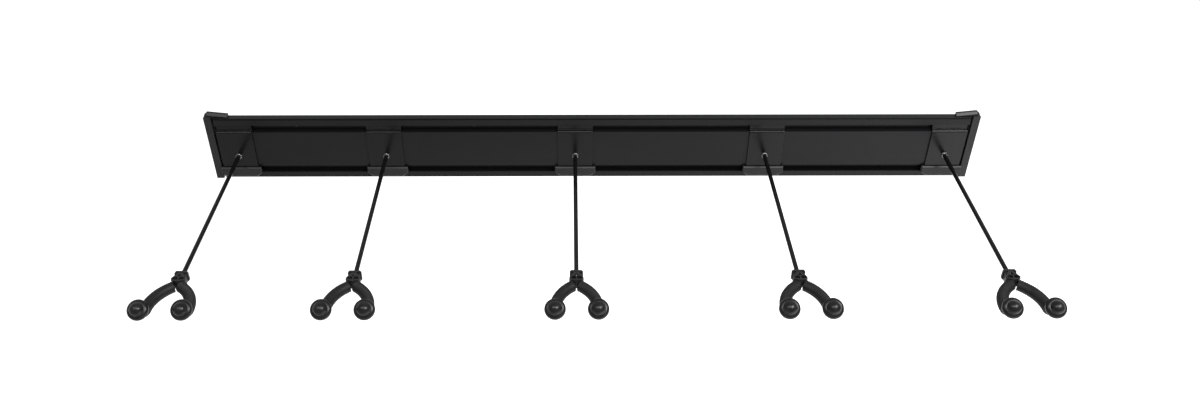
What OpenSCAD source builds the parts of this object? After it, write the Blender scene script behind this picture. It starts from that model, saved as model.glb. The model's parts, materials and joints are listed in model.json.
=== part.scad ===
// Wall rail with five sliding, swivelling hangers for stringed instruments.
// Frame: +X along the rail, +Z up, the wall is the plane Y = 0 and the room
// is on the -Y side. The origin is the middle of the rail's back face.

/* [Rail] */
// Length over both end caps
overall_length = 1320; // [1200:1:1500]
// Depth from the wall to the front face of the rail
rail_depth = 11.5; // [11:0.5:14]
// Height of the lip above the upper slot
upper_lip_height = 14.5; // [12:0.5:16]
// Height of each slot
slot_height = 13.1; // [12.1:0.2:14.1]
// Height of the flat panel between the slots
panel_height = 68.2; // [64.2:1:78.2]
// Height of the lip below the lower slot
lower_lip_height = 10.5; // [9.5:0.5:13]
// Thickness of the wall web and of the lips
wall_thickness = 2.5; // [2.3:0.1:3]

/* [End caps] */
// Width of the cap's block, whose front is the strip at the rail's end
cap_strip_width = 12.4; // [10.4:0.5:12.9]
// Width of the shadow groove between the strip and the rail
cap_groove_width = 2.6; // [1:0.2:2.6]
// How far the front strip stands proud of the rail
cap_strip_thickness = 1.5; // [1:0.1:1.6]
// How far the strip rises above the rail's top
cap_rise = 2.3; // [1:0.1:3]
// How far the strip reaches below the rail
cap_drop = 1.5; // [0.5:0.5:3]
// Length of the raised ear on top of the rail
ear_length = 40; // [30:1:50]
// Height of the ear above the rail's top, at its outer end
ear_outer_height = 8; // [6:0.5:9]
// Height of the ear above the rail's top, at its inner end
ear_inner_height = 4.2; // [3.7:0.5:5.2]

/* [Hangers] */
// Resting places of the five hangers along the rail
hanger_x = [-613, -357, -29, 300, 613];
// Width of the steel hanger plate
plate_width = 60; // [50:1:60]
// Thickness of the steel hanger plate
plate_thickness = 2.5; // [2:0.1:2.8]
// Width of the plastic foot under the plate
foot_width = 71; // [66:1:71]
// Height of the foot
foot_height = 19; // [17:0.5:20]
// How far the foot stands proud of the rail
foot_proud = 7; // [6:0.5:9]
// Diameter of the round arm
rod_diameter = 7; // [6:0.5:8]
// Length of the arm from the plate to the swivel hub
rod_reach = 321.5; // [251.5:5:331.5]
// Height of the arm's axis from the middle of the rail
rod_height = -14.5; // [-16:0.5:-8]

/* [Yoke] */
// Distance between the middles of the two rubber tips
tip_spacing = 61; // [58:0.5:70]
// Diameter of the wire in each yoke arm
wire_diameter = 5; // [4:0.2:5]
// Outer diameter of the soft sleeve on each yoke arm
sleeve_diameter = 17.2; // [13.2:0.5:17.2]
// Angle at which the arms leave the hub
spread_angle = 55; // [50:1:56]
// Angle by which the ends of the arms turn up
upturn_angle = 50; // [35:1:52]
// Diameter of the round collar on each tip
collar_diameter = 30.5; // [26:0.5:32]
// Diameter of the dome in front of the collar
dome_diameter = 21; // [18:0.5:23]

/* [Wall screws] */
// Diameter of each screw hole
screw_hole_diameter = 5.5; // [4:0.1:6]
// Distance between the two inner columns of screw holes
inner_screw_spacing = 406.4; // [300:0.1:500]
// Distance between the two outer columns of screw holes
outer_screw_spacing = 1016; // [900:1:1100]

/* [Hidden] */
HANGERS = len(hanger_x);
$fn = 64;

// Rail section, as heights from its middle
rail_height = upper_lip_height + panel_height + lower_lip_height + 2 * slot_height;
rail_top = rail_height / 2;
upper_slot_top = rail_top - upper_lip_height;
panel_top = upper_slot_top - slot_height;
panel_bottom = panel_top - panel_height;
lower_slot_bottom = panel_bottom - slot_height;
rail_length = overall_length - 2 * (cap_strip_width + cap_groove_width);
groove_height = 2.4;
groove_depth = 1.4;
groove_drop = 1.1;
screw_drop = 4.2;
upper_screw_z = upper_slot_top - screw_drop;
lower_screw_z = panel_bottom - screw_drop;
chamber_count = 3;
chamber_height = (panel_height - (chamber_count + 1) * wall_thickness) / chamber_count;

// End caps
plug_clearance = 0.2;
plug_length = 9;
cap_groove_depth = 6;
ear_end_inset = 5;
ear_depth = 8.3;
ear_bevel = 3.5;

// Hanger plate; it runs with a small gap on the rail
plate_gap = 0.4;
hook_gap = 0.25;
plate_back = rail_depth + plate_gap;
plate_front = plate_back + plate_thickness;
bend_radius = plate_thickness + 1;
tongue_bottom = panel_top + plate_gap;
hook_top = upper_slot_top + 5;
lip_back = rail_depth - wall_thickness;
plate_bottom = lower_slot_bottom - 3.5;
window_width = 30;
window_height = 6;
window_z = (panel_bottom + lower_slot_bottom) / 2;

// Foot
foot_back = rail_depth + cap_strip_thickness + 0.3;
foot_front = rail_depth + foot_proud;
foot_top = panel_bottom - 0.1;
foot_bottom = foot_top - foot_height;
foot_chamfer_x = 9;
foot_chamfer_z = 7;
foot_edge = 2;
tab_clearance = 0.15;
tab_end = rail_depth - 4.5;

// Swivel hub, measured forward from its rear face
hub_y = plate_front + rod_reach;
hub_length = 21;
flange_width = 20;
flange_height = 18;
flange_thickness = 3.5;
flange_chamfer = 2.5;
hub_rear_width = 17;
hub_front_width = 21.5;
hub_half_height = 6.5;
housing_rise = 2;
nose_radius = 12.5;
rod_clearance = 0.05;
rod_end = 9;
groove_position = 5.4;
clip_thickness = 1.2;
clip_diameter = 11.5;
groove_radius = rod_diameter / 2 - 0.6;
chamber_front = 10;

// Yoke arms: stem, tight bend, wide bend, upturn, straight end
stem_start = 12;
stem_x = wire_diameter / 2 + 0.1;
tight_radius = 6;
stem_end = 21.2;
sleeve_start_x = stem_x + tight_radius * (1 - cos(spread_angle));
sleeve_start_y = stem_end + tight_radius * sin(spread_angle);
wide_radius = (tip_spacing / 2 - sleeve_start_x) / (1 - cos(spread_angle));
wide_end_y = sleeve_start_y + wide_radius * sin(spread_angle);
upturn_radius = 13.5;
upturn_end_y = wide_end_y + upturn_radius * sin(upturn_angle);
upturn_rise = upturn_radius * (1 - cos(upturn_angle));
end_straight = 9.5;
wire_clearance = 0.05;
tight_steps = 5;
wide_steps = 7;
upturn_steps = 5;
wire_sides = 8;
sleeve_sides = 12;

// Rubber tips, measured along the tip's own axis from the end of the sleeve
collar_thickness = 11;
collar_edge = 5.5;
dome_height = 9;
dome_centre = collar_thickness - 2;
socket_depth = 13;

// A long bar whose section is drawn as [depth from the wall, height]
module along_x(length) {
    rotate([90, 0, -90])
        linear_extrude(height = length, center = true)
            children();
}

module rail_section() {
    difference() {
        translate([0, -rail_top])
            square([rail_depth, rail_height]);
        // upper hook channel and its slot
        translate([wall_thickness, panel_top])
            square([rail_depth - 2 * wall_thickness, rail_top - wall_thickness - panel_top]);
        translate([wall_thickness, panel_top])
            square([rail_depth, slot_height]);
        // lower channel and its slot
        translate([wall_thickness, -rail_top + wall_thickness])
            square([rail_depth - 2 * wall_thickness, panel_bottom + rail_top - wall_thickness]);
        translate([wall_thickness, lower_slot_bottom])
            square([rail_depth, slot_height]);
        // closed chambers behind the panel
        for (i = [0 : chamber_count - 1])
            translate([wall_thickness,
                       panel_bottom + wall_thickness + i * (chamber_height + wall_thickness)])
                square([rail_depth - 2 * wall_thickness, chamber_height]);
        // fine decorative groove just under the top edge
        translate([rail_depth - groove_depth, rail_top - groove_drop - groove_height])
            square([groove_depth + 1, groove_height]);
    }
}

module screw_holes() {
    for (spacing = [inner_screw_spacing, outer_screw_spacing])
        for (side = [-1, 1])
            for (z = [upper_screw_z, lower_screw_z])
                translate([side * spacing / 2, 1, z])
                    rotate([90, 0, 0])
                        cylinder(h = wall_thickness + 2, d = screw_hole_diameter);
}

module rail() {
    color([0.09, 0.09, 0.095])
        difference() {
            along_x(rail_length) rail_section();
            screw_holes();
        }
}

// Section of the ear, as [depth from the wall, height]; its front edge is bevelled
module ear_section(height) {
    translate([0, rail_top])
        polygon([[0, 0], [ear_depth, 0], [ear_depth, height - ear_bevel],
                 [ear_depth - ear_bevel, height], [0, height]]);
}

// The left cap; the right one is its mirror image
module end_cap() {
    outer = -overall_length / 2;
    block_end = outer + cap_strip_width;
    rail_end = block_end + cap_groove_width;
    slice = 0.2;
    color([0.05, 0.05, 0.055])
        union() {
            // block with the front strip
            translate([outer, -rail_depth - cap_strip_thickness, -rail_top - cap_drop])
                cube([cap_strip_width, rail_depth + cap_strip_thickness,
                      rail_height + cap_drop + cap_rise]);
            // step that the rail's end butts against, at the bottom of the shadow groove
            translate([block_end - 1, -rail_depth + cap_groove_depth, -rail_top])
                cube([cap_groove_width + 1, rail_depth - cap_groove_depth, rail_height]);
            // ear, highest near its outer end
            hull() {
                translate([outer + slice / 2, 0, 0]) along_x(slice) ear_section(ear_bevel + 0.2);
                translate([outer + ear_end_inset, 0, 0]) along_x(slice) ear_section(ear_outer_height);
                translate([outer + ear_length - slice / 2, 0, 0])
                    along_x(slice) ear_section(ear_inner_height);
            }
            // plugs pushed into the rail's chambers
            for (i = [0 : chamber_count - 1])
                translate([rail_end - 1,
                           -rail_depth + wall_thickness + plug_clearance,
                           panel_bottom + wall_thickness + plug_clearance
                               + i * (chamber_height + wall_thickness)])
                    cube([plug_length + 1,
                          rail_depth - 2 * wall_thickness - 2 * plug_clearance,
                          chamber_height - 2 * plug_clearance]);
        }
}

module end_cap_left() {
    end_cap();
}

module end_cap_right() {
    mirror([1, 0, 0]) end_cap();
}

// Section of the hooked plate, as [depth from the wall, height]
module plate_section() {
    hook_front = lip_back - hook_gap;
    hook_back = hook_front - plate_thickness;
    translate([plate_back, plate_bottom])
        square([plate_thickness, tongue_bottom + plate_thickness - bend_radius - plate_bottom]);
    translate([plate_front - bend_radius, tongue_bottom + plate_thickness - bend_radius])
        quarter_bend(0);
    translate([hook_back + bend_radius, tongue_bottom])
        square([plate_front - hook_back - 2 * bend_radius, plate_thickness]);
    translate([hook_back + bend_radius, tongue_bottom + bend_radius])
        quarter_bend(180);
    translate([hook_back, tongue_bottom + bend_radius])
        square([plate_thickness, hook_top - tongue_bottom - bend_radius]);
}

// One quarter of a ring of plate, turned by the given angle
module quarter_bend(angle) {
    rotate(angle)
        intersection() {
            difference() {
                circle(r = bend_radius);
                circle(r = bend_radius - plate_thickness);
            }
            square(bend_radius + 1);
        }
}

module hanger_plate(i) {
    color([0.07, 0.07, 0.075])
        translate([hanger_x[i - 1], 0, 0])
            difference() {
                along_x(plate_width) plate_section();
                translate([-window_width / 2, -plate_front - 1, window_z - window_height / 2])
                    cube([window_width, plate_thickness + 2, window_height]);
                translate([0, -plate_back + 1, rod_height])
                    rotate([90, 0, 0])
                        cylinder(h = plate_thickness + 2, d = rod_diameter + 2 * rod_clearance);
            }
}

// Front outline of the foot, with its lower corners cut away
module foot_outline(inset) {
    half = foot_width / 2 - inset;
    polygon([[-half, foot_top - inset], [half, foot_top - inset],
             [half, foot_bottom + foot_chamfer_z],
             [half - foot_chamfer_x, foot_bottom + inset],
             [-half + foot_chamfer_x, foot_bottom + inset],
             [-half, foot_bottom + foot_chamfer_z]]);
}

module foot(i) {
    color([0.11, 0.11, 0.115])
        translate([hanger_x[i - 1], 0, 0])
            union() {
                difference() {
                    hull() {
                        translate([0, -foot_back, 0])
                            rotate([90, 0, 0])
                                linear_extrude(height = foot_front - foot_back - foot_edge)
                                    foot_outline(0);
                        translate([0, -foot_back, 0])
                            rotate([90, 0, 0])
                                linear_extrude(height = foot_front - foot_back)
                                    foot_outline(foot_edge);
                    }
                    // seat for the lower end of the plate
                    translate([-plate_width / 2 - tab_clearance, -plate_front,
                               plate_bottom - tab_clearance])
                        cube([plate_width + 2 * tab_clearance, plate_front,
                              foot_top - plate_bottom + 1]);
                }
                // tab through the plate's window into the lower slot
                translate([-window_width / 2 + tab_clearance, -plate_front - 0.5,
                           window_z - window_height / 2 + tab_clearance])
                    cube([window_width - 2 * tab_clearance, plate_front + 0.5 - tab_end,
                          window_height - 2 * tab_clearance]);
            }
}

// Places its child on the arm's axis, at the hub's rear face, facing the room
module at_hub(i) {
    translate([hanger_x[i - 1], -hub_y, rod_height])
        children();
}

module arm_rod(i) {
    color([0.06, 0.06, 0.065])
        at_hub(i)
            rotate([90, 0, 0])
                difference() {
                    translate([0, 0, -rod_reach - plate_thickness])
                        cylinder(h = rod_reach + plate_thickness + rod_end, d = rod_diameter);
                    translate([0, 0, groove_position])
                        difference() {
                            cylinder(h = clip_thickness, d = rod_diameter + 1);
                            translate([0, 0, -1])
                                cylinder(h = clip_thickness + 2, r = groove_radius);
                        }
                }
}

// Open spring clip that sits in the rod's groove, inside the hub
module retaining_clip(i) {
    clip_side_play = 0.1;
    color([0.6, 0.6, 0.62])
        at_hub(i)
            translate([0, -groove_position - clip_side_play, 0])
                rotate([90, 0, 0])
                    difference() {
                        cylinder(h = clip_thickness - 2 * clip_side_play, d = clip_diameter);
                        translate([0, 0, -1])
                            cylinder(h = clip_thickness + 2, r = groove_radius + rod_clearance);
                        translate([-groove_radius + 0.4, -clip_diameter, -1])
                            cube([2 * groove_radius - 0.8, clip_diameter, clip_thickness + 2]);
                    }
}

module hub_flange() {
    half_w = flange_width / 2;
    half_h = flange_height / 2;
    rotate([90, 0, 0])
        linear_extrude(height = flange_thickness)
            polygon([[-half_w, -half_h + flange_chamfer], [-half_w + flange_chamfer, -half_h],
                     [half_w - flange_chamfer, -half_h], [half_w, -half_h + flange_chamfer],
                     [half_w, half_h - flange_chamfer], [half_w - flange_chamfer, half_h],
                     [-half_w + flange_chamfer, half_h], [-half_w, half_h - flange_chamfer]]);
}

// Rounded front of the hub, which reaches in between the two sleeves
function hub_nose(reach) = [for (a = [-40 : 10 : 40])
    [nose_radius * sin(a), -reach + nose_radius * (1 - cos(a))]];

// Plan of the hub's body, wider towards the yoke
module hub_plan() {
    rear = hub_rear_width / 2;
    wide = hub_front_width / 2;
    polygon(concat(
        [[rear, -10], [rear, -1], [-rear, -1], [-rear, -10], [-wide, -15.5], [-wide, -18]],
        hub_nose(hub_length + 2.6),
        [[wide, -18], [wide, -15.5]]));
}

// Plan of the raised three-sided housing on top of the body
module housing_plan() {
    wide = hub_front_width / 2 - 0.5;
    polygon(concat(
        [[2.4, -2], [-2.4, -2], [-wide, -15.6], [-wide, -17.4]],
        hub_nose(hub_length + 2.2),
        [[wide, -17.4], [wide, -15.6]]));
}

// The three sinkings that leave a Y-shaped rib between them
module housing_pockets() {
    polygon([[0, -6.4], [3.1, -10.8], [0, -12.4], [-3.1, -10.8]]);
    for (side = [-1, 1])
        polygon([[side * 1, -14], [side * 4.6, -12.4], [side * 9, -16.4],
                 [side * 7.8, -18.8], [side * 1, -20.2]]);
}

module swivel_hub(i) {
    color([0.08, 0.08, 0.085])
        at_hub(i)
            difference() {
                union() {
                    hub_flange();
                    translate([0, 0, -hub_half_height])
                        linear_extrude(height = 2 * hub_half_height) hub_plan();
                    linear_extrude(height = hub_half_height + housing_rise) housing_plan();
                }
                translate([0, 0, hub_half_height - 2.8])
                    linear_extrude(height = housing_rise + 3) housing_pockets();
                // bearing bore for the arm rod
                translate([0, 1, 0])
                    rotate([90, 0, 0])
                        cylinder(h = groove_position + 1, d = rod_diameter + 2 * rod_clearance);
                // chamber for the rod's end and its clip, open underneath
                translate([-clip_diameter / 2 - 0.6, -chamber_front, -hub_half_height - 1])
                    cube([clip_diameter + 1.2, chamber_front - groove_position + 0.4,
                          hub_half_height + 1]);
                translate([0, -groove_position + 0.4, 0])
                    rotate([90, 0, 0])
                        cylinder(h = chamber_front - groove_position + 0.4,
                                 d = clip_diameter + 1.2);
                // bores that grip the stems of the two yoke wires
                for (side = [0, 1])
                    mirror([side, 0, 0])
                        stem_bore();
            }
}

// Bore for the stem and the tight bend of the right-hand wire
module stem_bore() {
    bore_radius = wire_diameter / 2 + wire_clearance;
    translate([stem_x, -stem_start, 0])
        rotate([90, 0, 0])
            cylinder(h = stem_end - stem_start, r = bore_radius);
    translate([stem_x + tight_radius, -stem_end, 0])
        rotate([0, 0, 180])
            rotate_extrude(angle = spread_angle)
                translate([tight_radius, 0]) circle(r = bore_radius);
}

// Places its child at the end of the upturn, with +Z along the tip's axis
module at_arm_end() {
    translate([tip_spacing / 2, -upturn_end_y, upturn_rise])
        rotate([90 - upturn_angle, 0, 0])
            children();
}

// One place along the right-hand arm: the point, the angle away from straight
// ahead in plan, and the angle of climb
function wide_station(plan) = [
    [tip_spacing / 2 - wide_radius * (1 - cos(plan)), -wide_end_y + wide_radius * sin(plan), 0],
    plan, 0];
function upturn_station(climb) = [
    [tip_spacing / 2, -wide_end_y - upturn_radius * sin(climb), upturn_radius * (1 - cos(climb))],
    0, climb];
function tight_station(plan) = [
    [stem_x + tight_radius * (1 - cos(plan)), -stem_end - tight_radius * sin(plan), 0],
    plan, 0];
function straight_station(length) = [
    [tip_spacing / 2, -upturn_end_y - length * cos(upturn_angle),
     upturn_rise + length * sin(upturn_angle)],
    0, upturn_angle];

outer_stations = concat(
    [for (k = [0 : wide_steps]) wide_station(spread_angle * (1 - k / wide_steps))],
    [for (k = [1 : upturn_steps]) upturn_station(upturn_angle * k / upturn_steps)]);
sleeve_stations = concat(outer_stations, [straight_station(end_straight)]);
wire_stations = concat(
    [[[stem_x, -stem_start, 0], 0, 0]],
    [for (k = [0 : tight_steps - 1]) tight_station(spread_angle * k / tight_steps)],
    outer_stations,
    [straight_station(end_straight + socket_depth - 1)]);

// A ring of points round one place along the arm
function ring_points(station, radius, sides) =
    let (plan = station[1], climb = station[2],
         across = [cos(plan), sin(plan), 0],
         above = [-sin(plan) * sin(climb), cos(plan) * sin(climb), cos(climb)])
    [for (k = [0 : sides - 1])
        station[0] + radius * (cos(360 * k / sides) * across + sin(360 * k / sides) * above)];

// Solid rod swept along the stations
module swept_rod(stations, radius, sides) {
    last = (len(stations) - 1) * sides;
    polyhedron(
        points = [for (s = stations) each ring_points(s, radius, sides)],
        faces = concat(
            [[for (k = [0 : sides - 1]) k]],
            [[for (k = [0 : sides - 1]) last + sides - 1 - k]],
            [for (r = [0 : sides : last - 1]) for (k = [0 : sides - 1])
                [r + k, r + sides + k, r + sides + (k + 1) % sides, r + (k + 1) % sides]]));
}

// Tube swept along the stations; the inner rings follow the outer ones in the list
module swept_tube(stations, outer, inner, sides) {
    last = (len(stations) - 1) * sides;
    bore = last + sides;
    polyhedron(
        points = concat(
            [for (s = stations) each ring_points(s, outer, sides)],
            [for (s = stations) each ring_points(s, inner, sides)]),
        faces = concat(
            [for (r = [0 : sides : last - 1]) for (k = [0 : sides - 1])
                [r + k, r + sides + k, r + sides + (k + 1) % sides, r + (k + 1) % sides]],
            [for (r = [bore : sides : bore + last - 1]) for (k = [0 : sides - 1])
                [r + k, r + (k + 1) % sides, r + sides + (k + 1) % sides, r + sides + k]],
            [for (k = [0 : sides - 1])
                [k, (k + 1) % sides, bore + (k + 1) % sides, bore + k]],
            [for (k = [0 : sides - 1])
                [last + k, bore + last + k, bore + last + (k + 1) % sides, last + (k + 1) % sides]]));
}

module yoke_wire() {
    color([0.05, 0.05, 0.055])
        swept_rod(wire_stations, wire_diameter / 2, wire_sides);
}

module sleeve() {
    color([0.13, 0.13, 0.135])
        swept_tube(sleeve_stations, sleeve_diameter / 2,
                   (wire_diameter / 2 + wire_clearance) / cos(180 / sleeve_sides), sleeve_sides);
}

// Mushroom-shaped tip: a round-edged collar and a dome, with a socket for the wire
module rubber_tip() {
    color([0.1, 0.1, 0.105])
        at_arm_end()
            translate([0, 0, end_straight])
                rotate_extrude()
                    difference() {
                        intersection() {
                            union() {
                                square([collar_diameter / 2 - collar_edge, collar_thickness]);
                                translate([collar_diameter / 2 - collar_edge, collar_edge])
                                    circle(r = collar_edge);
                                translate([0, dome_centre])
                                    circle(d = dome_diameter);
                            }
                            square([collar_diameter, collar_thickness + dome_height]);
                        }
                        translate([-1, -1])
                            square([wire_diameter / 2 + wire_clearance + 1, socket_depth + 1]);
                    }
}

rail();
end_cap_left();
end_cap_right();
for (i = [1 : HANGERS]) {
    hanger_plate(i);
    foot(i);
    arm_rod(i);
    retaining_clip(i);
    swivel_hub(i);
    at_hub(i) mirror([1, 0, 0]) yoke_wire();
    at_hub(i) yoke_wire();
    at_hub(i) mirror([1, 0, 0]) sleeve();
    at_hub(i) sleeve();
    at_hub(i) mirror([1, 0, 0]) rubber_tip();
    at_hub(i) rubber_tip();
}
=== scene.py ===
# %% [markdown]
# # A wall rack for guitars
#
# The rack is a slotted aluminium rail with moulded end caps. Five steel hangers hook into its
# slots and slide along it. Each one carries a long round arm, and on the arm's end swivels a
# padded yoke: a moulded hub, two bent wires in ribbed rubber sleeves, and two round rubber tips.
#
# The construction already exists as a CAD model, which this lesson loads as a fixed frame. Here
# every piece gets the shape and the finish that the eye expects: softened edges, ribs, a weld
# bead, anodised metal, powder coat, grained plastic and rubber. All lengths are in metres.

# %% Load the frame
import bmesh
import bpy
import json
import math
from mathutils import Matrix, Vector


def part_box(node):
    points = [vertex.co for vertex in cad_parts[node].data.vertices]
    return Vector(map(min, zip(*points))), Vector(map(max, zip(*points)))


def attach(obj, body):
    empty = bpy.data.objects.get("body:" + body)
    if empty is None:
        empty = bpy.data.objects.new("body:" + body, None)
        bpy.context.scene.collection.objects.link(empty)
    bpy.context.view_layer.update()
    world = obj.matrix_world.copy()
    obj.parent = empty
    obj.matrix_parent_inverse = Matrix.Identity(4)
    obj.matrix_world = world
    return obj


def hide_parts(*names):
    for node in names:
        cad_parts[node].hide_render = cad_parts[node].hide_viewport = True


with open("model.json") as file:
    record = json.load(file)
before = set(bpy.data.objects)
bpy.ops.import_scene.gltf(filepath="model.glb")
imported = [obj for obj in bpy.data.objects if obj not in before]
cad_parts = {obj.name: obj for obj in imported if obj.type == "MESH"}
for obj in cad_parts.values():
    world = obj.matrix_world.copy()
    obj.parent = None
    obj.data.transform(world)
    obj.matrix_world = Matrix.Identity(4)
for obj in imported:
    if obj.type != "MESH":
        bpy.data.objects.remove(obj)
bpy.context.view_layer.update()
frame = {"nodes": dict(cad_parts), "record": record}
HANGERS = range(1, 6)

# %% [markdown]
# The camera comes first, so that every look at the work is from the same place. It stands in
# front of the rail, nearly a metre above it, and looks down at about 36 degrees. It could be
# aimed with a Track To constraint, but a plain matrix from three angles is easier to read and
# can't drift: first the turn about the vertical, then the pitch, then a hair of roll.

# %% Camera
CAMERA_PLACE = Vector((-0.0385, -1.5092, 0.96585))
CAMERA_PITCH = math.radians(36.035)
CAMERA_ROLL = math.radians(0.014)
CAMERA_YAW = math.radians(-0.218)
LENS = 30.82
SENSOR = 36.0
SHIFT_X = 0.0225

camera_data = bpy.data.cameras.new("camera")
camera_data.lens = LENS
camera_data.sensor_width = SENSOR
camera_data.shift_x = SHIFT_X
camera_data.clip_end = 50.0
camera = bpy.data.objects.new("camera", camera_data)
bpy.context.scene.collection.objects.link(camera)
camera.matrix_world = (
    Matrix.Translation(CAMERA_PLACE)
    @ Matrix.Rotation(CAMERA_YAW, 4, "Z")
    @ Matrix.Rotation(math.pi / 2 - CAMERA_PITCH, 4, "X")
    @ Matrix.Rotation(CAMERA_ROLL, 4, "Z")
)
bpy.context.scene.camera = camera
print("camera at", [round(v, 3) for v in camera.location])

# %% [markdown]
# Every finish below is a small node tree on a Principled BSDF. The trees share three parts: a
# material with its shader, a noise texture on Object coordinates, and a bump. Object coordinates
# are the rack's own metres here, because each piece lies at the origin, so a grain of 1 mm is 1 mm
# on every piece, and no piece repeats its neighbour's pattern.

# %% Material helpers
FINISHES = {}
NOISE_LOW, NOISE_HIGH = 0.3, 0.7
RAMP_LOW, RAMP_HIGH = 0.32, 0.68


def new_finish(name, colour, roughness, metallic=0.0, specular=0.5):
    """A material with one Principled BSDF; constants are set on the shader itself."""
    material = bpy.data.materials.new(name)
    material.use_nodes = True
    shader = material.node_tree.nodes["Principled BSDF"]
    shader.inputs["Base Color"].default_value = (*colour, 1.0)
    shader.inputs["Roughness"].default_value = roughness
    shader.inputs["Metallic"].default_value = metallic
    shader.inputs["Specular IOR Level"].default_value = specular
    return material, shader


def object_noise(material, scale, stretch=(1.0, 1.0, 1.0), detail=2.0, roughness=0.5):
    """Noise in Object space; scale is in grains per metre, and stretch squeezes each axis."""
    nodes, links = material.node_tree.nodes, material.node_tree.links
    coordinates = nodes.new("ShaderNodeTexCoord")
    mapping = nodes.new("ShaderNodeMapping")
    mapping.inputs["Scale"].default_value = stretch
    noise = nodes.new("ShaderNodeTexNoise")
    noise.inputs["Scale"].default_value = scale
    noise.inputs["Detail"].default_value = detail
    noise.inputs["Roughness"].default_value = roughness
    links.new(coordinates.outputs["Object"], mapping.inputs["Vector"])
    links.new(mapping.outputs["Vector"], noise.inputs["Vector"])
    return noise.outputs["Fac"]


def spread(material, factor, low, high, socket):
    """Maps the middle of a noise onto the range low to high and feeds it to a shader socket."""
    remap = material.node_tree.nodes.new("ShaderNodeMapRange")
    remap.inputs["From Min"].default_value = NOISE_LOW
    remap.inputs["From Max"].default_value = NOISE_HIGH
    remap.inputs["To Min"].default_value = low
    remap.inputs["To Max"].default_value = high
    material.node_tree.links.new(factor, remap.inputs["Value"])
    material.node_tree.links.new(remap.outputs["Result"], socket)


def tint(material, factor, dark, light, socket):
    """Runs a noise through a two-colour ramp into a colour socket."""
    ramp = material.node_tree.nodes.new("ShaderNodeValToRGB")
    ramp.color_ramp.elements[0].position = RAMP_LOW
    ramp.color_ramp.elements[0].color = (*dark, 1.0)
    ramp.color_ramp.elements[1].position = RAMP_HIGH
    ramp.color_ramp.elements[1].color = (*light, 1.0)
    material.node_tree.links.new(factor, ramp.inputs["Fac"])
    material.node_tree.links.new(ramp.outputs["Color"], socket)


def bump(material, shader, height, depth, strength=1.0):
    """Adds a bump of the given depth in metres, on top of any bump that is already there."""
    nodes, links = material.node_tree.nodes, material.node_tree.links
    node = nodes.new("ShaderNodeBump")
    node.inputs["Distance"].default_value = depth
    node.inputs["Strength"].default_value = strength
    links.new(height, node.inputs["Height"])
    if shader.inputs["Normal"].links:
        links.new(shader.inputs["Normal"].links[0].from_socket, node.inputs["Normal"])
    links.new(node.outputs["Normal"], shader.inputs["Normal"])


print("material helpers ready")

# %% [markdown]
# The rail is extruded aluminium with a black satin anodised skin. Extruding leaves hair-fine
# lines along the whole length, and the dye takes a little unevenly. A plain dark metal would look
# like gunmetal. The anodised layer is clear oxide full of dye, so it is closer to a dark
# dielectric with a satin surface, and the lines are noise that is squeezed along X.

# %% Black anodised aluminium
def anodised_aluminium():
    """Dyed oxide skin with hair-fine extrusion lines along the rail."""
    material, shader = new_finish("anodised_aluminium", (0.0025, 0.0025, 0.0027), 0.36, 0.0, 0.09)
    lines = object_noise(material, 900.0, (0.004, 1.0, 1.0), 3.0, 0.6)
    cloud = object_noise(material, 7.0, (0.4, 1.0, 1.0), 2.0)
    tint(material, cloud, (0.002, 0.002, 0.0022), (0.003, 0.003, 0.0033), shader.inputs["Base Color"])
    spread(material, lines, 0.31, 0.41, shader.inputs["Roughness"])
    bump(material, shader, lines, 0.00002, 0.35)
    return material


FINISHES["rail_anodised"] = anodised_aluminium()
print("made", FINISHES["rail_anodised"].name)

# %% [markdown]
# The plates, arms and wires are steel with a smooth black powder coat. Powder melts into a
# slightly wavy skin, the orange peel, which blurs reflections without dulling them. Two noises do
# that: a broad one of about 2 mm for the peel, and a fine one for the last of the grain.

# %% Black powder coat
def powder_coat():
    """Black coat with a fine orange peel."""
    material, shader = new_finish("powder_coat", (0.002, 0.002, 0.0021), 0.22, 0.0, 0.095)
    peel = object_noise(material, 420.0, detail=1.0)
    grain = object_noise(material, 2600.0, detail=2.0)
    tint(material, peel, (0.0017, 0.0017, 0.0018), (0.0024, 0.0024, 0.0026), shader.inputs["Base Color"])
    spread(material, grain, 0.18, 0.27, shader.inputs["Roughness"])
    bump(material, shader, peel, 0.00006, 0.25)
    bump(material, shader, grain, 0.00001, 0.4)
    return material


FINISHES["coated_steel"] = powder_coat()
print("made", FINISHES["coated_steel"].name)

# %% [markdown]
# Round the foot of each arm the powder pools on the weld, melts thick and sets glossy, so the bead
# gets a finish of its own: the same black with a smoother, stronger reflection, and only a broad
# waviness. Giving it the plain coat would lose the small bright spot at the arm's foot.

# %% Pooled coat on the welds
def pooled_coat():
    """The same coat where it has pooled and set glossy."""
    material, shader = new_finish("pooled_coat", (0.004, 0.004, 0.0042), 0.16, 0.0, 0.6)
    wave = object_noise(material, 300.0, detail=1.0)
    spread(material, wave, 0.12, 0.22, shader.inputs["Roughness"])
    bump(material, shader, wave, 0.00005, 0.3)
    return material


FINISHES["pooled_coat"] = pooled_coat()
print("made", FINISHES["pooled_coat"].name)

# %% [markdown]
# Three plastics are moulded: the end caps, the feet and the hubs. A mould that is spark-eroded
# leaves a pebbled grain, coarse on the feet and fine on the caps and the hubs, which are a little
# glossier. One function makes all three, because only the shade, the roughness, and the grain's
# size and depth change.

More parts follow.
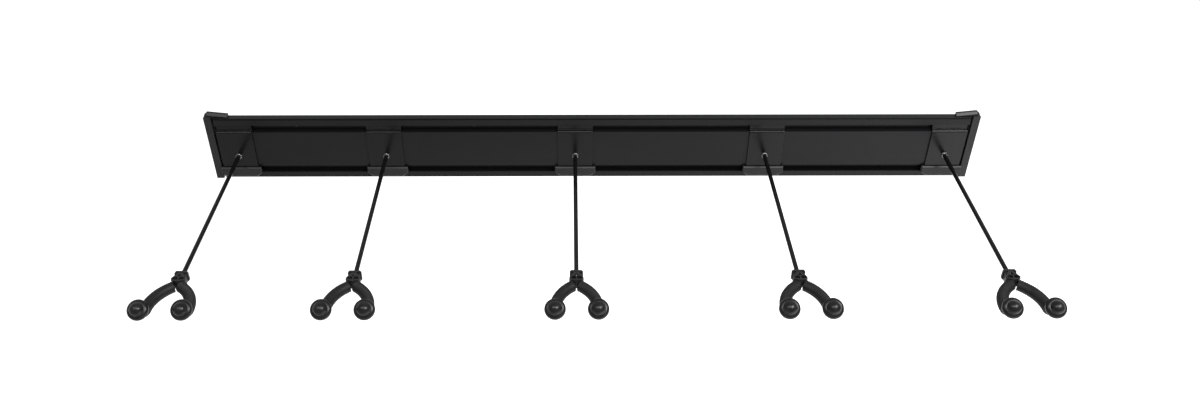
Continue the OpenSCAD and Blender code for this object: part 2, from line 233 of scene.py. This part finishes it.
# %% Moulded plastics
def moulded_plastic(name, shade, roughness, grain_per_metre, grain_depth):
    """Black plastic with a spark-eroded grain of the given size and depth."""
    dark = tuple(0.8 * shade for _ in range(3))
    light = tuple(1.25 * shade for _ in range(3))
    material, shader = new_finish(name, (shade,) * 3, roughness, 0.0, 0.14)
    grain = object_noise(material, grain_per_metre, detail=3.0, roughness=0.6)
    cloud = object_noise(material, 60.0, detail=2.0)
    tint(material, cloud, dark, light, shader.inputs["Base Color"])
    spread(material, grain, roughness - 0.06, roughness + 0.07, shader.inputs["Roughness"])
    bump(material, shader, grain, grain_depth, 0.6)
    return material


FINISHES["cap_plastic"] = moulded_plastic("fine_grain", 0.004, 0.4, 2200.0, 0.00004)
FINISHES["foot_plastic"] = moulded_plastic("coarse_grain", 0.0045, 0.45, 1300.0, 0.00012)
FINISHES["hub_plastic"] = moulded_plastic("satin_moulding", 0.006, 0.36, 1800.0, 0.00005)
print("three plastics made")

# %% [markdown]
# The sleeves are matt rubber tube with moulded ribs, which are real geometry below. What is left
# for the material is the dusty, uneven skin of the rubber. The tips are the same rubber, but from
# a polished mould, with the soft, broad highlight of a smooth elastomer.

# %% Rubbers and spring steel
def sleeve_rubber():
    """Dusty matt rubber."""
    material, shader = new_finish("ribbed_rubber", (0.003, 0.003, 0.0032), 0.5, 0.0, 0.14)
    skin = object_noise(material, 1500.0, detail=4.0, roughness=0.65)
    dust = object_noise(material, 90.0, detail=3.0)
    tint(material, dust, (0.0022, 0.0022, 0.0024), (0.0042, 0.0042, 0.0045), shader.inputs["Base Color"])
    spread(material, skin, 0.44, 0.6, shader.inputs["Roughness"])
    bump(material, shader, skin, 0.00012, 0.7)
    return material


def tip_rubber():
    """Smooth rubber with a soft sheen."""
    material, shader = new_finish("smooth_rubber", (0.003, 0.003, 0.0031), 0.3, 0.0, 0.12)
    skin = object_noise(material, 700.0, detail=3.0)
    smear = object_noise(material, 120.0, detail=2.0)
    tint(material, smear, (0.0022, 0.0022, 0.0023), (0.004, 0.004, 0.0043), shader.inputs["Base Color"])
    spread(material, smear, 0.24, 0.34, shader.inputs["Roughness"])
    bump(material, shader, skin, 0.00004, 0.35)
    return material


def spring_steel():
    """Bright brushed steel."""
    material, shader = new_finish("bright_steel", (0.5, 0.5, 0.51), 0.3, 1.0, 0.5)
    brushing = object_noise(material, 1200.0, (1.0, 0.05, 1.0), 2.0)
    spread(material, brushing, 0.22, 0.4, shader.inputs["Roughness"])
    bump(material, shader, brushing, 0.00001, 0.5)
    return material


FINISHES["sleeve_rubber"] = sleeve_rubber()
FINISHES["tip_rubber"] = tip_rubber()
FINISHES["spring_steel"] = spring_steel()
print("finishes:", sorted(FINISHES))

# %% [markdown]
# Two ways of making a piece come up again and again, so each is a helper. The first turns a bmesh
# into a finished object: it smooths the shading but keeps edges over 35 degrees sharp, puts the
# piece on its body and hides the CAD node that it stands for. Doing this by hand for each piece
# would be just as good, but one forgotten line would leave a faceted piece or a loose one.

# %% Finish a piece
SHARP_ANGLE = math.radians(35)


def finish_piece(mesh, name, slot, body, node=None, weighted=True, finish=None):
    """Makes the bmesh an object at the origin that rides on a body and may replace a CAD node."""
    data = bpy.data.meshes.new(name)
    mesh.to_mesh(data)
    mesh.free()
    data.materials.append(FINISHES[finish or slot])
    data.shade_smooth()
    data.set_sharp_from_angle(angle=SHARP_ANGLE)
    piece = bpy.data.objects.new(name, data)
    bpy.context.scene.collection.objects.link(piece)
    if weighted:
        normals = piece.modifiers.new("weighted_normals", "WEIGHTED_NORMAL")
        normals.keep_sharp = True
    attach(piece, body)
    if node:
        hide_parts(node)
    return piece


print("pieces shade smooth up to", round(math.degrees(SHARP_ANGLE)), "degrees")

# %% [markdown]
# The second helper softens a CAD part. The rail, caps, plates, feet and hubs are flat-sided
# shapes whose size the CAD model settles, but no real edge is as sharp as its edges: a bent
# plate, a moulding and an extrusion all have a small radius, and that radius catches the light as
# a thin bright line. So a copy of the CAD mesh is welded, its flat triangles are joined into
# whole faces, and every edge over 30 degrees is bevelled. Modelling the shape again by hand would
# only risk a wrong size.

# %% Soften a CAD part
FLAT_ANGLE = math.radians(0.5)
BEVEL_ANGLE = math.radians(30)
MERGE_DISTANCE = 1e-6


def welded_copy(node):
    """A bmesh copy of a CAD node with doubles merged and flat triangles joined into faces."""
    mesh = bmesh.new()
    mesh.from_mesh(frame["nodes"][node].data)
    bmesh.ops.remove_doubles(mesh, verts=mesh.verts, dist=MERGE_DISTANCE)
    bmesh.ops.dissolve_limit(
        mesh, angle_limit=FLAT_ANGLE, verts=mesh.verts, edges=mesh.edges, delimit=set()
    )
    return mesh


def softened(node, radius, segments):
    """The CAD part with its sharp edges rounded."""
    mesh = welded_copy(node)
    sharp = [
        e for e in mesh.edges
        if len(e.link_faces) == 2 and e.calc_face_angle(0.0) > BEVEL_ANGLE
    ]
    bmesh.ops.bevel(
        mesh, geom=sharp, offset=radius, offset_type="OFFSET", segments=segments,
        profile=0.5, affect="EDGES", clamp_overlap=True, material=-1,
    )
    return mesh


def body_of_node(node):
    """The body that a CAD node belongs to."""
    return next(b for b, nodes in frame["record"]["behaviour"]["bodies"].items() if node in nodes)


def add_softened(node, radius, slot, segments=2):
    """Rounds a CAD part's edges by a radius and adds it in its finish."""
    mesh = softened(node, radius, segments)
    triangles = sum(len(f.verts) - 2 for f in mesh.faces)
    piece = finish_piece(mesh, node + "_soft", slot, body_of_node(node), node)
    print(piece.name, triangles, "triangles")


print("edges over", round(math.degrees(BEVEL_ANGLE)), "degrees are rounded")

# %% [markdown]
# How far each edge is rounded follows from how the part is made. An extrusion die, a deburred
# plate and a mould all leave a radius of about half a millimetre. The feet have a little more,
# because they slide and are handled, and a stamped clip has next to none. One radius for all of
# them would be shorter, but it would eat the thin clip and leave the feet looking sharp.

# %% Rail, end caps, plates, feet, hubs and clips
RAIL_EDGE = 0.0004
CAP_EDGE = 0.0005
PLATE_EDGE = 0.0005
FOOT_EDGE = 0.0007
HUB_EDGE = 0.00035
CLIP_EDGE = 0.0001

add_softened("rail", RAIL_EDGE, "rail_anodised")
for side in ("left", "right"):
    add_softened("end_cap_" + side, CAP_EDGE, "cap_plastic", segments=3)
for i in HANGERS:
    add_softened(f"hanger_plate_{i}", PLATE_EDGE, "coated_steel")
    add_softened(f"foot_{i}", FOOT_EDGE, "foot_plastic", segments=3)
    add_softened(f"swivel_hub_{i}", HUB_EDGE, "hub_plastic")
    add_softened(f"retaining_clip_{i}", CLIP_EDGE, "spring_steel", segments=1)

# %% [markdown]
# Round pieces are turned on a lathe in code. A profile of a few points is spun through a full
# turn with use_merge, so that the last ring is the first. The arm rod, the weld bead at its foot
# and the rubber tips are all made this way, because a spun profile gives exact circles and even
# faces.

# %% A lathe
def lathe(profile, steps, place):
    """Spins [radius, height] points about Z, closes the poles and moves the shape to its place."""
    mesh = bmesh.new()
    verts = [mesh.verts.new((radius, 0.0, height)) for radius, height in profile]
    edges = [mesh.edges.new(pair) for pair in zip(verts, verts[1:])]
    bmesh.ops.spin(
        mesh, geom=verts + edges, cent=(0, 0, 0), axis=(0, 0, 1), angle=2 * math.pi,
        steps=steps, use_merge=True, use_duplicate=False, use_normal_flip=False, dvec=(0, 0, 0),
    )
    bmesh.ops.remove_doubles(mesh, verts=mesh.verts, dist=MERGE_DISTANCE)
    bmesh.ops.recalc_face_normals(mesh, faces=mesh.faces)
    mesh.transform(place)
    return mesh


def arc(centre, radius, start, end, steps):
    """Points of a circular arc in a profile; angles in degrees from the outward direction."""
    angles = [math.radians(start + (end - start) * k / steps) for k in range(steps + 1)]
    return [(centre[0] + radius * math.cos(a), centre[1] + radius * math.sin(a)) for a in angles]


def hub_place(i):
    """The middle of a hub's rear face, on the arm's axis."""
    plate_low, plate_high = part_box(f"hanger_plate_{i}")
    rod_low, rod_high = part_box(f"arm_rod_{i}")
    hub_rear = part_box(f"swivel_hub_{i}")[1].y
    return Vector(((plate_low.x + plate_high.x) / 2, hub_rear, (rod_low.z + rod_high.z) / 2))


print("hub rear faces:", [[round(v, 4) for v in hub_place(i)] for i in HANGERS])

# %% [markdown]
# The arm is a straight round bar, square to the wall. Its profile starts at the wall end, has a
# small chamfer at each end, and a shallow groove for the spring clip inside the hub.

# %% Arm rods
CHAMFER = 0.0005
CLIP_GROOVE = 0.0054
CLIP_THICKNESS = 0.0012
GROOVE_DEPTH = 0.0006
ROUND_STEPS = 48
TOWARDS_ROOM = Matrix.Rotation(math.pi / 2, 4, "X")


def arm_rod(i):
    """The round bar of one hanger, with its clip groove."""
    low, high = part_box(f"arm_rod_{i}")
    radius = (high.z - low.z) / 2
    length = high.y - low.y
    groove = hub_place(i).y - CLIP_GROOVE
    start = high.y - groove
    profile = [
        (0.0, 0.0), (radius - CHAMFER, 0.0), (radius, CHAMFER),
        (radius, start), (radius - GROOVE_DEPTH, start),
        (radius - GROOVE_DEPTH, start + CLIP_THICKNESS), (radius, start + CLIP_THICKNESS),
        (radius, length - CHAMFER), (radius - CHAMFER, length), (0.0, length),
    ]
    centre = Vector(((low.x + high.x) / 2, high.y, (low.z + high.z) / 2))
    mesh = lathe(profile, ROUND_STEPS, Matrix.Translation(centre) @ TOWARDS_ROOM)
    finish_piece(mesh, f"arm_rod_{i}_bar", "coated_steel", f"hanger_{i}", f"arm_rod_{i}")


for i in HANGERS:
    arm_rod(i)
print("arm rods turned")

# %% [markdown]
# Where the arm meets its plate it is welded all round. The bead is a small convex ring with a
# slight ripple, as each puddle of the weld freezes before the next. The ring is spun like the
# rest, and then each step's points are pushed in or out a little.

# %% Weld beads
BEAD_WIDTH = 0.0028
BEAD_OVERLAP = 0.0002
BEAD_SINK = 0.0001
BEAD_STEPS = 80
BEAD_ARC_STEPS = 6
BEAD_RIPPLES = 20
RIPPLE_SWELL = 0.035
BEAD_WAVES = 3
WAVE_SWELL = 0.02


def weld_bead(i):
    """The rippled ring of weld round the foot of an arm."""
    plate_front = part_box(f"hanger_plate_{i}")[0].y
    rod_low, rod_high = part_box(f"arm_rod_{i}")
    radius = (rod_high.z - rod_low.z) / 2
    profile = [(radius - BEAD_OVERLAP, -BEAD_SINK)]
    profile += arc((radius, 0.0), BEAD_WIDTH, 0, 90, BEAD_ARC_STEPS)
    profile += [(radius - BEAD_OVERLAP, BEAD_WIDTH), (radius - BEAD_OVERLAP, -BEAD_SINK)]
    centre = Vector((hub_place(i).x, plate_front, hub_place(i).z))
    mesh = lathe(profile, BEAD_STEPS, Matrix.Identity(4))
    for vert in mesh.verts:
        if vert.co.xy.length > radius:
            turn = math.atan2(vert.co.y, vert.co.x)
            ripple = RIPPLE_SWELL * math.cos(BEAD_RIPPLES * turn)
            swell = 1 + ripple + WAVE_SWELL * math.cos(BEAD_WAVES * turn + i)
            vert.co.x = vert.co.x * swell
            vert.co.y = vert.co.y * swell
    mesh.transform(Matrix.Translation(centre) @ TOWARDS_ROOM)
    finish_piece(mesh, f"weld_bead_{i}", "coated_steel", f"hanger_{i}", finish="pooled_coat")


for i in HANGERS:
    weld_bead(i)
print("weld beads run round the arms")

# %% [markdown]
# Each yoke arm is one bent wire. It leaves the hub straight, turns out in a tight bend, comes
# back in a wide one until it points straight ahead, and then turns up to keep the guitar from
# sliding off. The bends are the ones of the CAD model, so the route is worked out from the same
# few radii and angles. It could be drawn as a curve with a bevel, but rings that are extruded one
# by one keep every face where it is wanted, which the ribs of the sleeve need.

# %% Route of a yoke arm
SPREAD = math.radians(55)
UPTURN = math.radians(50)
TIGHT_RADIUS = 0.006
UPTURN_RADIUS = 0.0135
STEM_START = 0.012
STEM_END = 0.0212
END_STRAIGHT = 0.0095
WIRE_RADIUS = 0.0025
STEM_CLEARANCE = 0.0001
STEM_X = WIRE_RADIUS + STEM_CLEARANCE
SLEEVE_RADIUS = 0.0086
SOCKET_DEPTH = 0.013

tip_low, tip_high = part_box("rubber_tip_right_1")
HALF_SPACING = (tip_low.x + tip_high.x) / 2 - hub_place(1).x
SLEEVE_X = STEM_X + TIGHT_RADIUS * (1 - math.cos(SPREAD))
SLEEVE_Y = STEM_END + TIGHT_RADIUS * math.sin(SPREAD)
WIDE_RADIUS = (HALF_SPACING - SLEEVE_X) / (1 - math.cos(SPREAD))
WIDE_END = SLEEVE_Y + WIDE_RADIUS * math.sin(SPREAD)
UPTURN_END = WIDE_END + UPTURN_RADIUS * math.sin(UPTURN)
UPTURN_RISE = UPTURN_RADIUS * (1 - math.cos(UPTURN))


def station(point, plan, climb):
    """A place on the route: its matrix has +Z along the wire, +X to the outside, +Y up."""
    along = Vector((math.sin(plan) * math.cos(climb), -math.cos(plan) * math.cos(climb),
                    math.sin(climb)))
    across = Vector((math.cos(plan), math.sin(plan), 0.0))
    above = Vector((-math.sin(plan) * math.sin(climb), math.cos(plan) * math.sin(climb),
                    math.cos(climb)))
    return Matrix((
        (across.x, above.x, along.x, point[0]),
        (across.y, above.y, along.y, point[1]),
        (across.z, above.z, along.z, point[2]),
        (0.0, 0.0, 0.0, 1.0),
    ))


def tight_bend(plan):
    """A place in the bend in front of the hub, heading out by the angle plan."""
    return station((STEM_X + TIGHT_RADIUS * (1 - math.cos(plan)),
                    -STEM_END - TIGHT_RADIUS * math.sin(plan), 0.0), plan, 0.0)


def wide_bend(plan):
    """A place in the bend that brings the wire back to straight ahead."""
    return station((HALF_SPACING - WIDE_RADIUS * (1 - math.cos(plan)),
                    -WIDE_END + WIDE_RADIUS * math.sin(plan), 0.0), plan, 0.0)


def upturn_bend(climb):
    """A place in the bend that turns the wire up, climbing by the angle climb."""
    return station((HALF_SPACING, -WIDE_END - UPTURN_RADIUS * math.sin(climb),
                    UPTURN_RADIUS * (1 - math.cos(climb))), 0.0, climb)


def straight_end(length):
    """A place at a length along the straight end, past the last bend."""
    return station((HALF_SPACING, -UPTURN_END - length * math.cos(UPTURN),
                    UPTURN_RISE + length * math.sin(UPTURN)), 0.0, UPTURN)


WIDE_LENGTH = WIDE_RADIUS * SPREAD
UPTURN_LENGTH = UPTURN_RADIUS * UPTURN
SLEEVE_LENGTH = WIDE_LENGTH + UPTURN_LENGTH + END_STRAIGHT


def sleeve_station(distance):
    """The place at a distance along the sleeved part of the route, from its start at the hub."""
    if distance <= WIDE_LENGTH:
        return wide_bend(SPREAD - distance / WIDE_RADIUS)
    if distance <= WIDE_LENGTH + UPTURN_LENGTH:
        return upturn_bend((distance - WIDE_LENGTH) / UPTURN_RADIUS)
    return straight_end(distance - WIDE_LENGTH - UPTURN_LENGTH)


print("a sleeve is", round(1000 * SLEEVE_LENGTH, 1), "mm long")

# %% [markdown]
# A swept round piece starts as a circle. For each next place on the route its rim is extruded,
# and the new rim is moved there and scaled to the radius that is wanted. The ends are closed with
# a face. The left arm is the right one mirrored, and a mirrored mesh is inside out until its
# normals are worked out again.

# %% Sweep a ring along the route
def sweep(rings, sides):
    """rings is a list of (matrix, radius). Returns a closed tube-shaped bmesh."""
    mesh = bmesh.new()
    first, radius = rings[0]
    rim = bmesh.ops.create_circle(mesh, cap_ends=False, segments=sides, radius=1.0)["verts"]
    bmesh.ops.transform(mesh, matrix=first @ Matrix.Diagonal((radius, radius, 1, 1)), verts=rim)
    edges = list(mesh.edges)
    mesh.faces.new(rim)
    before = first @ Matrix.Diagonal((radius, radius, 1, 1))
    for place, radius in rings[1:]:
        new = bmesh.ops.extrude_edge_only(mesh, edges=edges)["geom"]
        verts = [g for g in new if isinstance(g, bmesh.types.BMVert)]
        new_rim = set(verts)
        edges = [g for g in new if isinstance(g, bmesh.types.BMEdge) and new_rim.issuperset(g.verts)]
        after = place @ Matrix.Diagonal((radius, radius, 1, 1))
        bmesh.ops.transform(mesh, matrix=after @ before.inverted(), verts=verts)
        before = after
    bmesh.ops.contextual_create(mesh, geom=edges)
    bmesh.ops.recalc_face_normals(mesh, faces=mesh.faces)
    return mesh


def place_at_hub(mesh, i, left):
    """Moves a right-hand arm's mesh to hanger i, mirrored if it is the left one."""
    if left:
        mesh.transform(Matrix.Diagonal((-1, 1, 1, 1)))
        bmesh.ops.recalc_face_normals(mesh, faces=mesh.faces)
    mesh.transform(Matrix.Translation(hub_place(i)))
    return mesh


print("a ring can be swept along the route")

# %% [markdown]
# The wires show only between the hub and the sleeves, as a dark V. On the real yoke each is one
# bar of 5 mm steel, bent cold round three formers. It is swept here with 20 sides, enough for the
# short stretch that is seen.

# %% Yoke wires
WIRE_SIDES = 20
WIRE_STEPS = 30
TIGHT_STEPS = 8
WIRE_END_GAP = 0.001
WIRE_END_CHAMFER = 0.0005


def yoke_wire(i, side):
    """One bent wire, from inside the hub to inside the tip."""
    stem = [station((STEM_X, -STEM_START, 0), 0, 0)]
    tight = [tight_bend(SPREAD * k / TIGHT_STEPS) for k in range(TIGHT_STEPS)]
    rest = [sleeve_station(SLEEVE_LENGTH * k / WIRE_STEPS) for k in range(WIRE_STEPS + 1)]
    reach = END_STRAIGHT + SOCKET_DEPTH - WIRE_END_GAP
    end = [straight_end(reach - WIRE_END_CHAMFER)]
    rings = [(place, WIRE_RADIUS) for place in stem + tight + rest + end]
    rings.append((straight_end(reach), WIRE_RADIUS - WIRE_END_CHAMFER))
    mesh = place_at_hub(sweep(rings, WIRE_SIDES), i, side == "left")
    node = f"yoke_wire_{side}_{i}"
    finish_piece(mesh, node + "_bent", "coated_steel", f"yoke_{i}", node)


for i in HANGERS:
    for side in ("left", "right"):
        yoke_wire(i, side)
print("ten wires bent")

# %% [markdown]
# The sleeve is a soft tube with fine ribs moulded round it. Each rib is four rings: the end of
# its crest, the foot of the slope, the end of the valley, and the start of the next crest. Ribs
# could be left to a bump, but their edges show against the light. The ends are cut square and
# rounded a little, and the hollow shows only as a rim against the wire.

# %% Ribbed sleeves
RIB_PITCH = 0.0029
RIB_DEPTH = 0.0006
RIB_RINGS = ((0.36, 0.0), (0.52, RIB_DEPTH), (0.84, RIB_DEPTH), (1.0, 0.0))
END_ROUND = 0.0009
SLEEVE_SIDES = 40
WIRE_FIT = 0.0001


def sleeve(i, side):
    """One ribbed sleeve, swept ring by ring along the wire."""
    rings = [(sleeve_station(0.0), WIRE_RADIUS + WIRE_FIT),
             (sleeve_station(0.0), SLEEVE_RADIUS - END_ROUND),
             (sleeve_station(0.3 * END_ROUND), SLEEVE_RADIUS - 0.3 * END_ROUND),
             (sleeve_station(END_ROUND), SLEEVE_RADIUS)]
    ribs = round((SLEEVE_LENGTH - 2 * END_ROUND) / RIB_PITCH)
    pitch = (SLEEVE_LENGTH - 2 * END_ROUND) / ribs
    for k in range(ribs):
        start = END_ROUND + k * pitch
        for share, depth in RIB_RINGS:
            rings.append((sleeve_station(start + share * pitch), SLEEVE_RADIUS - depth))
    rings.append((sleeve_station(SLEEVE_LENGTH), SLEEVE_RADIUS - 0.4 * END_ROUND))
    mesh = place_at_hub(sweep(rings, SLEEVE_SIDES), i, side == "left")
    node = f"sleeve_{side}_{i}"
    finish_piece(mesh, node + "_ribbed", "sleeve_rubber", f"yoke_{i}", node, weighted=False)


for i in HANGERS:
    for side in ("left", "right"):
        sleeve(i, side)
print("ten sleeves, ribs", RIB_PITCH * 1000, "mm apart")

# %% [markdown]
# The rubber tip is one moulding: a thick collar with a full round edge that stops the neck, and a
# dome in front of it. A fine step runs where collar and dome meet. It is turned like the rod,
# about the wire's own axis at the end of its upturn.

# %% Rubber tips
COLLAR_RADIUS = 0.01525
COLLAR_EDGE = 0.0055
COLLAR_THICKNESS = 0.011
DOME_RADIUS = 0.01045
DOME_CENTRE = COLLAR_THICKNESS - 0.002
SOCKET_CHAMFER = 0.0003
TIP_STEPS = 56
COLLAR_ARC_STEPS = 18
DOME_ARC_STEPS = 16
DOME_ARC_END = 89


def rubber_tip(i, side):
    """One collar and dome, turned about the end of the wire."""
    edge_centre = (COLLAR_RADIUS - COLLAR_EDGE, COLLAR_EDGE)
    socket = WIRE_RADIUS + WIRE_FIT
    top = DOME_CENTRE + DOME_RADIUS
    foot = math.degrees(math.asin((COLLAR_THICKNESS - DOME_CENTRE) / DOME_RADIUS))
    profile = [
        (0.0, SOCKET_DEPTH), (socket, SOCKET_DEPTH),
        (socket, SOCKET_CHAMFER), (socket + SOCKET_CHAMFER, 0.0),
    ]
    profile += arc(edge_centre, COLLAR_EDGE, -90, 90, COLLAR_ARC_STEPS)
    profile += arc((0.0, DOME_CENTRE), DOME_RADIUS, foot, DOME_ARC_END, DOME_ARC_STEPS)
    profile += [(0.0, top)]
    place = straight_end(END_STRAIGHT)
    mesh = place_at_hub(lathe(profile, TIP_STEPS, place), i, side == "left")
    node = f"rubber_tip_{side}_{i}"
    finish_piece(mesh, node + "_turned", "tip_rubber", f"yoke_{i}", node, weighted=False)


for i in HANGERS:
    for side in ("left", "right"):
        rubber_tip(i, side)
print("ten rubber tips turned")

# %% [markdown]
# The set is a plain pale floor, far enough below that the rack throws no shadow to speak of on
# it. The world is a soft white. A row of long soft lights hangs above the front, strongest at the
# right; each bent edge that faces up and forward mirrors it as a bright line. An upright black
# panel seen from above reflects the floor in front of it, so one more light brightens the floor
# at the right, and the black grows lighter towards that end.

# %% Floor and light
FLOOR_DROP = 1.3
FLOOR_HALF = 20.0
FLOOR_SHADE = 0.9
WORLD_STRENGTH = 0.93

floor_mesh = bmesh.new()
bmesh.ops.create_grid(floor_mesh, x_segments=1, y_segments=1, size=FLOOR_HALF)
floor_mesh.transform(Matrix.Translation((0, 0, -FLOOR_DROP)))
floor_data = bpy.data.meshes.new("floor")
floor_mesh.to_mesh(floor_data)
floor_mesh.free()
floor = bpy.data.objects.new("floor", floor_data)
bpy.context.scene.collection.objects.link(floor)
floor_finish = new_finish("floor_paint", (FLOOR_SHADE,) * 3, 0.9, 0.0, 0.2)[0]
floor_data.materials.append(floor_finish)

world = bpy.data.worlds.new("studio")
world.use_nodes = True
world.node_tree.nodes["Background"].inputs["Color"].default_value = (1.0, 1.0, 1.0, 1.0)
world.node_tree.nodes["Background"].inputs["Strength"].default_value = WORLD_STRENGTH
bpy.context.scene.world = world


def softbox(name, place, target, size, power):
    """A rectangular area light at a place, aimed at a target."""
    light = bpy.data.lights.new(name, "AREA")
    light.shape = "RECTANGLE"
    light.size, light.size_y = size
    light.energy = power
    lamp = bpy.data.objects.new(name, light)
    bpy.context.scene.collection.objects.link(lamp)
    aim = (Vector(target) - Vector(place)).to_track_quat("-Z", "Y")
    lamp.matrix_world = Matrix.Translation(place) @ aim.to_matrix().to_4x4()


softbox("key_right", (1.45, -1.35, 2.0), (0.4, -0.3, 0.0), (1.6, 0.6), 150.0)
softbox("strip_centre", (0.1, -1.35, 2.0), (0.1, -0.2, 0.0), (1.2, 0.6), 45.0)
softbox("strip_left", (-1.2, -1.35, 2.0), (-0.4, -0.2, 0.0), (1.4, 0.6), 36.0)
softbox("floor_right", (1.9, -2.2, -0.1), (1.9, -2.2, -1.3), (1.4, 1.0), 88.0)
view = bpy.context.scene.view_settings
view.view_transform = "Standard"
view.look = "None"
print("floor", FLOOR_DROP, "m below the rail, four soft lights")
